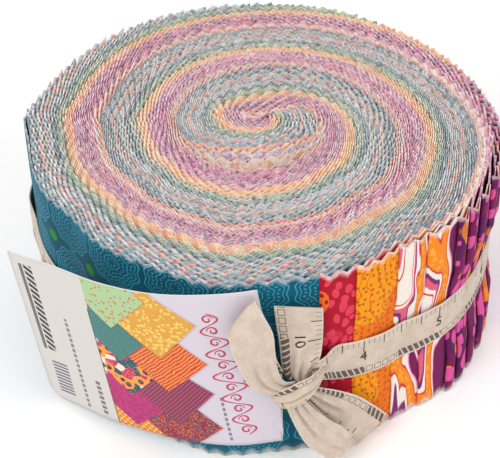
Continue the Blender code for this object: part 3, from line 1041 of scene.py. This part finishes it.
def bandStations():
    full = math.tau * tape["knotRadius"]
    holeNear, holeFar = (label["hole"][end] + tape["holePast"][end] for end in (0, 1))
    stations = []
    for index in range(tape["bandStations"] + 1):
        across = tape["rightEnd"] + (full - holeFar - tape["rightEnd"]) * index / tape["bandStations"]
        azimuth = knotAzimuth(across)
        fromRight = smoothStep(tape["loose"], tape["gather"][0], across)
        fromLeft = smoothStep(holeFar, tape["gather"][1], full - across)
        width = tape["pinch"] + (tape["width"] - tape["pinch"]) * min(fromRight, fromLeft)
        raised = 1.0 - fromRight
        seat = max(packWall(azimuth + 1.5 * step) for step in range(-3, 4))
        seat = seat + tape["cloth"] / 2.0 + tape["seatGap"]
        radius = seat * (1.0 - raised) + (tape["knotRadius"] + tape["knotOut"]) * raised
        stations.append((azimuth, radius, width))
    through = (
        (-holeFar + 1.6, 0.55 * tape["frontOut"]),
        (-holeNear - 1.6, 0.88 * tape["frontOut"]),
        (-holeNear, tape["frontOut"]),
        (tape["leftEnd"], tape["frontOut"] + 0.4),
    )
    for across, out in through:
        stations.append((knotAzimuth(across), tape["knotRadius"] + out, tape["pinch"]))
    return stations


def bandRows():
    rows = []
    for azimuth, radius, width in bandStations():
        lift = tape["rise"] * (tape["width"] - width) / (tape["width"] - tape["pinch"])
        middle = tieHeight(azimuth) + lift
        rows.append([Vector(polar(azimuth, radius, middle + width * share)) for share in (-0.5, 0.0, 0.5)])

    def rowAt(share):
        place = share * (len(rows) - 1)
        index = min(int(place), len(rows) - 2)
        return [here.lerp(ahead, place - index) for here, ahead in zip(rows[index], rows[index + 1])]

    return rowAt


def tableRows(table):
    def rowAt(share):
        place = share * (len(table) - 1)
        rails = zip(*table)
        return [Vector(fromKnot(*curveThrough(rail, place))) for rail in rails]

    return rowAt


def makeRuler():
    # sixteenths along one edge, longer at quarters and inches, and a striped second scale on the other
    group, bench, given, out = newGroup("rulerPrint", (("Cloth", point, None),), (("Ink", number),))
    split = bench.split(given["Cloth"])
    along, deep, shift = (bench.times(split[way], 1000.0) for way in range(3))
    sixteenth = tape["inch"] / 16.0
    place = bench.over(along, sixteenth)
    index = bench.maths("ROUND", place)
    quarter, whole = (bench.below(bench.maths("FLOORED_MODULO", bench.plus(index, 0.5), every), 1.0)
                      for every in (4.0, 16.0))
    reach = bench.plus(bench.plus(bench.times(quarter, 1.2), bench.times(whole, 1.1)), 2.1)
    thick = bench.plus(bench.times(quarter, 0.07), 0.13)
    line = bench.below(bench.times(bench.apart(place, index), sixteenth), thick)
    faint = bench.plus(bench.times(quarter, 0.35), 0.6)
    ticks = bench.times(bench.times(line, bench.within(deep, 0.35, reach)), faint)
    # the other edge: runs of slanted blocks, then runs of open squares
    rise = bench.minus(tape["width"] - 0.5, deep)
    run = bench.maths("FLOORED_MODULO", bench.plus(bench.plus(along, shift), 6.0), 26.0)
    blocks = bench.below(run, 14.4)
    slant = bench.over(bench.plus(along, bench.times(rise, 0.45)), 1.8)
    filled = bench.times(blocks, bench.below(bench.fraction(slant), 0.7))
    boxAcross = bench.apart(bench.fraction(bench.over(along, 2.6)), 0.5)
    box = bench.larger(boxAcross, bench.apart(bench.over(rise, 2.6), 0.46))
    hollow = bench.times(bench.minus(1.0, blocks), bench.within(box, 0.3, 0.4))
    second = bench.times(bench.within(rise, 0.0, 2.4), bench.plus(filled, bench.times(hollow, 0.8)))
    bench.feed(out, "Ink", bench.larger(ticks, second))
    return group


def makeTapeMaterial(name, printed):
    material, bench, shader = startMaterial(name, 0.88, 0.15, 0.2)
    cloth = bench.clothMap()
    weave = useGroup(bench, weaveGroup, {"Cloth": cloth, "Thread": tape["weaveThread"]})
    split = bench.split(cloth)
    mottle = bench.step(bench.noise(cloth, 260.0, 3.0)[0], 0.3, 0.7)
    colour = bench.mix(mottle, inks(221, 204, 187), inks(207, 188, 171))
    ribs = bench.maths("SINE", bench.times(split[0], math.tau * 1000.0 / 0.72))
    colour = bench.mix(bench.times(bench.step(ribs, 0.2, 1.0), 0.16), colour, inks(176, 158, 142))
    edge = bench.maths("MINIMUM", split[1], bench.minus(mm * tape["width"], split[1]))
    colour = bench.mix(bench.times(bench.step(edge, 0.0006, 0.0), 0.5), colour, inks(248, 242, 232))
    if printed:
        ink = useGroup(bench, makeRuler(), {"Cloth": cloth})["Ink"]
        worn = bench.times(ink, bench.step(weave["Height"], -0.3, 0.6, 0.95, 0.8))
        colour = bench.mix(worn, colour, inks(26, 22, 22))
    bench.feed(shader, "Base Color", bench.mix(1.0, colour, weave["Shade"], "MULTIPLY"))
    setBump(bench, shader, bench.plus(weave["Height"], bench.times(ribs, 0.35)), 0.00008, 0.6)
    return material


def makeTapeStretch(name, course, steps, material, reverse):
    # a strip of faces drawn out station by station, with its own map along and across the tape
    shape = bmesh.new()
    cloth = shape.verts.layers.float_vector.new("cloth")
    sides, width = tape["sides"], mm * tape["width"]
    shift = mm * tape["blockShifts"].get(name, 0.0)

    def place(vert, along, side):
        vert.co = course.place(along, side) * mm
        vert[cloth] = (mm * (along + course.startInch), width * (1.0 - side), shift)

    def settle(vert, along):
        place(vert, along, round((1.0 - vert[cloth].y / width) * sides) / sides)

    def isRow(edge, along):
        return abs(edge.verts[0][cloth].x - edge.verts[1][cloth].x) < 1e-7

    row = [shape.verts.new() for side in range(sides + 1)]
    for side, vert in enumerate(row):
        place(vert, 0.0, side / sides)
    drawOut(shape, row, [course.length * index / steps for index in range(1, steps + 1)], settle, isRow)
    turnOut(shape, lambda face: face.calc_center_median() * Vector((1.0, 1.0, 0.0)), firstAlone=True)
    for face in shape.faces:
        face.smooth = True
    piece = newPiece(name, shape, material, reverse, reverse)
    thicken(piece, tape["cloth"])
    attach(piece, "root")
    return piece


def printFigure(text, course, along, side, ink, name):
    # a figure cut from type, laid on the tape; it reads along the tape with its foot to the plain edge
    letters = bpy.data.curves.new(name, "FONT")
    letters.body = text
    letters.size = tape["figureSize"]
    letters.align_x = "CENTER"
    letters.align_y = "CENTER"
    letters.extrude = 0.02
    shape = shapeFrom(letters)
    bmesh.ops.remove_doubles(shape, verts=shape.verts, dist=0.0001)
    for vert in shape.verts:
        x, y, z = vert.co
        vert.co = course.place(along + x, side + y / tape["width"], tape["cloth"] / 2.0 + 0.06 + z) * mm
    bmesh.ops.recalc_face_normals(shape, faces=shape.faces)
    piece = newPiece(name, shape, ink)
    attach(piece, "root")


def tieRoll():
    printed, plain = makeTapeMaterial("printedTape", True), makeTapeMaterial("plainTape", False)
    ink = speckled("printInk", 0.75, 2600.0, 2.0, 0.5, 0.75, (30, 27, 28), (96, 88, 84))
    inch = tape["inch"]
    mark, figure = tape["firstInch"]
    firstAlong = (mark - tape["rightEnd"]) * tape["drawn"]
    band = TapeCourse(bandRows(), tape["bandSteps"], (figure * inch - firstAlong) % inch)
    pieces = {"tapeBand": makeTapeStretch("tapeBand", band, tape["bandSteps"], printed, plain)}
    for index in range(tape["figures"]):
        along = firstAlong + index * inch
        if along < band.length - tape["bare"]:
            text = str(figure + index)
            printFigure(text, band, along, tape["figureSide"], ink, "bandFigure" + text)
    for name, table in tapeCourses.items():
        spans = len(table) - 1
        course = TapeCourse(tableRows(table), 12 * spans, tape["starts"].get(name, 0.0))
        outside, inside = (plain, printed) if name.startswith("loop") else (printed, plain)
        pieces[name] = makeTapeStretch(name, course, 8 * spans, outside, inside)
        if name in tape["tailFigures"]:
            text, along, side = tape["tailFigures"][name]
            printFigure(text, course, along, side, ink, "tailFigure" + text)
        print(name, "of", round(course.length, 1), "mm of tape")
    print("band of", round(band.length, 1), "mm of tape")
    for name, node in (("tapeBand", "tape_band"), ("loopUpper", "loop_upper"), ("loopLower", "loop_lower"),
                       ("tailUpper", "tail_upper"), ("tailLower", "tail_lower"), ("knotWrap", "tape_knot")):
        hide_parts(node)


# ---- the label card ----

label = {
    "width": 72.5,
    "height": 54.0,
    "thick": 0.35,
    "tilt": 6.6,
    "lean": 8.7,                  # of its ends, to the left as they rise
    "toeIn": 4.6,                 # the foot of its left half stands this much nearer the roll
    "foot": 9.4,
    "corner": 5.0,
    "hole": (5.5, 8.3, 23.2, 27.6),      # from and to across from the right edge, then up
    "course": (                   # plan, from the right end along the roll and off to the left
        (4.5, -69.0), (-11.0, -69.5), (-27.0, -67.0), (-41.5, -60.5), (-55.0, -51.0), (-70.0, -41.5),
    ),
    "courseSteps": 20,
    "columns": 58,                # of faces
    "rows": 40,
    "inkLift": 0.02,              # print stands this far off the card
}
# squares of cloth shown on the card, on point in two columns: middle from the left edge and up, turn, look
patches = (
    ((31.2, 2.5), 41.0, "orangeDots"), ((43.6, 7.5), 49.0, "confetti"), ((30.8, 13.5), 47.0, "magenta"),
    ((43.6, 19.0), 42.0, "plumDots"), ((31.4, 26.0), 44.0, "mixed"), ((43.8, 31.0), 48.0, "brick"),
    ((31.0, 38.5), 46.0, "tealGreen"), ((43.2, 43.5), 43.0, "mustard"), ((30.8, 50.5), 45.0, "mint"),
)
patchHalf = 8.6
# what the squares look like: kind of pattern, its scale, how loose it is, where it turns over, and two inks
looks = {
    "orangeDots": ("cells", 0.72, 0.0, 0.3, 0.22, (240, 134, 20), (255, 226, 150)),
    "confetti": ("cells", 1.5, 1.0, 0.45, 0.3, (150, 30, 50), (228, 120, 70)),
    "magenta": ("noise", 0.8, 3.0, 0.4, 0.6, (196, 40, 120), (170, 26, 104)),
    "plumDots": ("cells", 1.1, 0.0, 0.26, 0.2, (132, 36, 76), (196, 110, 130)),
    "brick": ("waves", 0.35, 5.0, 0.35, 0.65, (206, 50, 44), (240, 148, 60)),
    "tealGreen": ("noise", 2.4, 2.0, 0.4, 0.6, (44, 112, 112), (80, 136, 126)),
    "mustard": ("cells", 0.9, 1.0, 0.5, 0.3, (222, 160, 60), (250, 206, 100)),
    "mint": ("cells", 0.8, 1.0, 0.34, 0.24, (170, 204, 150), (216, 104, 70)),
}
panelEdge = 24.4
# plain marks: left, right, low and high; pitch, slant and inked share of their stripes; strength; ink
cardMarks = (
    ((24.1, 24.4, 0.0, 43.0), (1.0, 0.0, 2.0), 1.0, (70, 66, 66)),
    ((2.6, 3.8, 20.0, 51.0), (1.0, 0.0, 2.0), 1.0, (112, 108, 110)),
    ((4.3, 7.0, 20.0, 51.0), (2.1, 0.3, 0.62), 1.0, (48, 44, 46)),
    ((4.0, 9.4, 3.6, 16.0), (1.25, 0.0, 0.52), 1.0, (104, 100, 124)),
    ((13.6, 14.7, 1.5, 35.0), (1.9, 0.0, 0.66), 0.75, (70, 66, 66)),
    ((19.4, 21.0, 1.2, 15.0), (1.9, 0.0, 0.66), 0.8, (70, 66, 66)),
    ((56.8, 57.6, 2.0, 19.0), (1.9, 0.0, 0.66), 0.7, (70, 66, 66)),
)


def cardPlan():
    # places along the card's course, each after its distance from the right end
    course, length = [], 0.0
    steps = label["courseSteps"]
    for index in range((len(label["course"]) - 1) * steps + 1):
        place = curveThrough(label["course"], index / steps)
        if course:
            length += (place - course[-1][1]).length
        course.append((length, place))
    return course


def cardSpot(course, across, up, lift=0.0):
    corner, width = label["corner"], label["width"]
    over, under = across - (width - corner), corner - up
    if over > 0.0 and under > 0.0 and math.hypot(over, under) > corner:
        shrink = corner / math.hypot(over, under)
        across, up = width - corner + over * shrink, corner - under * shrink
    slope, lean = math.radians(label["tilt"]), math.radians(label["lean"])
    length = across * math.cos(slope) + label["height"] * math.sin(slope)
    length += (up - label["height"]) * math.sin(lean)
    toes = label["toeIn"] * smoothStep(8.0, 46.0, across) * (1.0 - up / label["height"])
    for (runHere, here), (runAhead, ahead) in zip(course, course[1:]):
        if length <= runAhead:
            break
    share = min(1.0, max(0.0, (length - runHere) / (runAhead - runHere)))
    place = here.lerp(ahead, share)
    along = (ahead - here).normalized()
    place = place + Vector((-along.y, along.x)) * lift
    return Vector((place.x, place.y + toes, label["foot"] + up * math.cos(slope) - across * math.sin(slope)))


def makePatch():
    # one square of cloth on the card: inside mask, its own map in millimetres and a soft shadow round it
    group, bench, given, out = newGroup(
        "cutPatch",
        (("Card", point, None), ("Middle", point, None), ("Half", number, 10.0), ("Turn", number, 0.0)),
        (("Inside", number), ("Local", point), ("Shadow", number)),
    )
    moved = bench.vector("SUBTRACT", {0: given["Card"], 1: given["Middle"]})[0]
    turned = bench.add("ShaderNodeVectorRotate", {"Vector": moved, "Angle": given["Turn"]},
                       rotation_type="Z_AXIS").outputs[0]
    split = bench.split(turned)
    farther = bench.larger(bench.maths("ABSOLUTE", split[0]), bench.maths("ABSOLUTE", split[1]))
    beyond = bench.minus(farther, given["Half"])
    pinked = bench.times(bench.maths("PINGPONG", bench.plus(split[0], split[1]), 0.35), 0.5)
    bench.feed(out, "Inside", bench.below(bench.plus(beyond, pinked), 0.0))
    bench.feed(out, "Local", turned)
    bench.feed(out, "Shadow", bench.step(beyond, 0.7, -0.1))
    return group


def mixedInks(bench, local):
    # large blots in four inks, each with a dark heart, and pale seeds
    blots = bench.cells(local, 0.33, 1.0, "3D")
    own = bench.splitColour(blots["Color"])
    colour = bench.mix(bench.above(own[0], 0.35), inks(240, 226, 206), inks(40, 80, 96))
    colour = bench.mix(bench.above(own[1], 0.62), colour, inks(206, 30, 84))
    colour = bench.mix(bench.above(own[2], 0.7), colour, inks(244, 156, 50))
    colour = bench.mix(bench.step(blots["Distance"], 0.34, 0.28), colour, inks(92, 26, 52))
    seeds = bench.step(bench.cells(local, 1.6, 1.0, "3D")["Distance"], 0.22, 0.16)
    return bench.mix(seeds, colour, inks(250, 236, 190))


def patchInks(bench, look, local):
    if look == "mixed":
        return mixedInks(bench, local)
    kind, scale, loose, low, high, ground, motif = looks[look]
    if kind == "cells":
        cell = bench.cells(local, scale, loose, "3D")
        value = cell["Distance"]
    elif kind == "noise":
        value = bench.noise(local, scale, loose)[0]
    else:
        inputs = {"Vector": local, "Scale": scale, "Distortion": loose}
        value = bench.add("ShaderNodeTexWave", inputs).outputs["Fac"]
    colour = bench.mix(bench.step(value, low, high), inks(*ground), inks(*motif))
    if look == "confetti":
        colour = bench.mix(bench.above(bench.splitColour(cell["Color"])[0], 0.75), colour, inks(110, 90, 110))
    return colour


def makeCardPaper():
    material, bench, shader = startMaterial("printedCard", 0.5, 0.0, 0.4)
    card = bench.vector("SCALE", {0: bench.clothMap(), "Scale": 1000.0})[0]
    split = bench.split(card)
    across, up = split[0], split[1]
    patchGroup = makePatch()
    fibre = bench.noise(card, 3.0, 4.0)[0]
    panel = bench.below(across, panelEdge)
    picture = bench.minus(1.0, panel)
    colour = bench.mix(panel, inks(214, 205, 216), inks(216, 210, 204))
    for middle, turn, look in patches:
        patch = useGroup(bench, patchGroup, {"Card": card, "Middle": (*middle, 0.0), "Half": patchHalf,
                                             "Turn": math.radians(turn)})
        shadow, inside = bench.times(patch["Shadow"], picture), bench.times(patch["Inside"], picture)
        colour = bench.mix(bench.times(shadow, 0.35), colour, inks(90, 60, 80))
        colour = bench.mix(inside, colour, patchInks(bench, look, patch["Local"]))
    for (left, right, low, high), (pitch, slant, inked), strength, ink in cardMarks:
        box = bench.times(bench.within(across, left, right), bench.within(up, low, high))
        stripes = bench.fraction(bench.plus(bench.over(up, pitch), bench.times(across, slant)))
        mark = bench.times(box, bench.below(stripes, inked))
        colour = bench.mix(bench.times(mark, strength), colour, inks(*ink))
    shade = bench.step(fibre, 0.3, 0.7, 0.95, 1.0)
    bench.feed(shader, "Base Color", bench.mix(1.0, colour, shade, "MULTIPLY"))
    bench.feed(shader, "Roughness", bench.step(fibre, 0.3, 0.7, 0.42, 0.56))
    setBump(bench, shader, fibre, 0.00002, 0.3)
    return material


def addCard():
    course = cardPlan()
    shape = bmesh.new()
    cloth = shape.verts.layers.float_vector.new("cloth")
    width, height = label["width"], label["height"]
    near, far, low, high = label["hole"]
    fill = Matrix.Diagonal((width / 2.0, height / 2.0, 1.0, 1.0))
    fill.translation = (width / 2.0, height / 2.0, 0.0)
    bmesh.ops.create_grid(shape, x_segments=label["columns"], y_segments=label["rows"], size=1.0, matrix=fill)
    cuts = [((side, 0, 0), (1, 0, 0)) for side in (near, far)]
    cuts += [((0, side, 0), (0, 1, 0)) for side in (low, high)]
    for spot, along in cuts:
        parts = shape.verts[:] + shape.edges[:] + shape.faces[:]
        bmesh.ops.bisect_plane(shape, geom=parts, plane_co=spot, plane_no=along, dist=0.001)
    cut = [face for face in shape.faces if near < face.calc_center_median().x < far
           and low < face.calc_center_median().y < high]
    bmesh.ops.delete(shape, geom=cut, context="FACES")
    for vert in shape.verts:
        across, up = vert.co.x, vert.co.y
        vert[cloth] = (mm * (width - across), mm * up, 0.0)
        vert.co = cardSpot(course, across, up) * mm
    turnOut(shape, lambda face: Vector((0.0, -1.0, 0.0)))
    for face in shape.faces:
        face.smooth = True
    core = speckled("cardCore", 0.8, 1500.0, 3.0, None, None, (250, 248, 246), (232, 228, 226))
    card = newPiece("labelCard", shape, makeCardPaper(), core, core)
    thicken(card, label["thick"])
    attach(card, "root")
    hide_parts("label_card")
    addFlourish(course)
    print("card of", len(card.data.polygons), "faces")


flourish = {
    "from": (58.6, 48.0),         # from the card's left edge and up
    "to": (62.2, 4.0),
    "swing": 3.9,
    "waves": 5.5,
    "pen": 0.24,
    "curl": 1.5,
    "flat": 0.06,                 # the line is pressed this flat
    "stemSteps": 150,
    "curlSteps": 25,
}


def vineLines():
    # one waving stem, then a small curl in every bend, each with how often its line swells
    start, end = Vector(flourish["from"]), Vector(flourish["to"])
    run = end - start
    aside = Vector((-run.y, run.x)).normalized()
    bends = 2.0 * flourish["waves"]
    stem = []
    for index in range(flourish["stemSteps"] + 1):
        share = index / flourish["stemSteps"]
        swing = flourish["swing"] * math.sin(math.pi * bends * share)
        stem.append(start + run * share + aside * swing * (0.55 + 0.45 * math.sin(math.pi * share)))
    lines = [(stem, bends)]
    for bend in range(int(bends)):
        side = 1.0 if bend % 2 == 0 else -1.0
        middle = start + run * (bend + 0.5) / bends - aside * side * 0.2
        curl = []
        for index in range(flourish["curlSteps"] + 1):
            turn = index / flourish["curlSteps"]
            angle = math.tau * 1.15 * turn * side + math.atan2(aside.y * side, aside.x * side)
            reach = flourish["curl"] * (1.0 - 0.72 * turn)
            curl.append(middle + Vector((math.cos(angle), math.sin(angle))) * reach)
        lines.append((curl, 1.0))
    return lines


def addFlourish(course):
    # a printed vine that lies on the card
    pen = bpy.data.curves.new("vine", "CURVE")
    pen.dimensions = "3D"
    pen.bevel_depth = flourish["pen"]
    pen.bevel_resolution = 1
    pen.use_fill_caps = True
    for line, swells in vineLines():
        spline = pen.splines.new("POLY")
        spline.points.add(len(line) - 1)
        for index, (spot, knot) in enumerate(zip(line, spline.points)):
            knot.co = (spot.x, spot.y, 0.0, 1.0)
            knot.radius = 0.45 + 0.75 * abs(math.sin(math.pi * swells * index / (len(line) - 1)))
    shape = shapeFrom(pen)
    for vert in shape.verts:
        x, y, z = vert.co
        lift = label["thick"] / 2.0 + label["inkLift"] + flourish["flat"] * z
        vert.co = cardSpot(course, label["width"] - x, y, lift) * mm
    bmesh.ops.recalc_face_normals(shape, faces=shape.faces)
    ink = speckled("vineInk", 0.5, 700.0, 2.0, None, None, (192, 24, 70), (208, 62, 100))
    vine = newPiece("cardVine", shape, ink)
    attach(vine, "root")


tieRoll()
addCard()


# ---- studio ----

def addFloor():
    shape = bmesh.new()
    bmesh.ops.create_grid(shape, x_segments=2, y_segments=2, size=studio["floorSize"] / 2.0)
    material, bench, shader = startMaterial("paleFloor", 0.7)
    white = (1.0, 1.0, 1.0, 1.0)
    shader.inputs["Base Color"].default_value = white
    shader.inputs["Emission Color"].default_value = white
    shader.inputs["Emission Strength"].default_value = studio["floorGlow"]
    newPiece("floor", shape, material)


def addLamp(name):
    lamp = bpy.data.lights.new(name, "AREA")
    lamp.size = studio[name + "Size"]
    lamp.energy = studio[name + "Power"]
    holder = bpy.data.objects.new(name, lamp)
    bpy.context.scene.collection.objects.link(holder)
    holder.location = studio[name + "Place"]
    holder.rotation_euler = (Vector(studio["lampAim"]) - holder.location).to_track_quat("-Z", "Y").to_euler()


def lightStage():
    world = bpy.data.worlds.new("softRoom")
    bpy.context.scene.world = world
    world.use_nodes = True
    sky = world.node_tree.nodes["Background"]
    sky.inputs["Color"].default_value = (1.0, 1.0, 1.0, 1.0)
    sky.inputs["Strength"].default_value = studio["worldLight"]
    addLamp("key")
    addLamp("fill")
    bpy.context.scene.view_settings.view_transform = "Standard"


addFloor()
lightStage()
print("floor and light set")
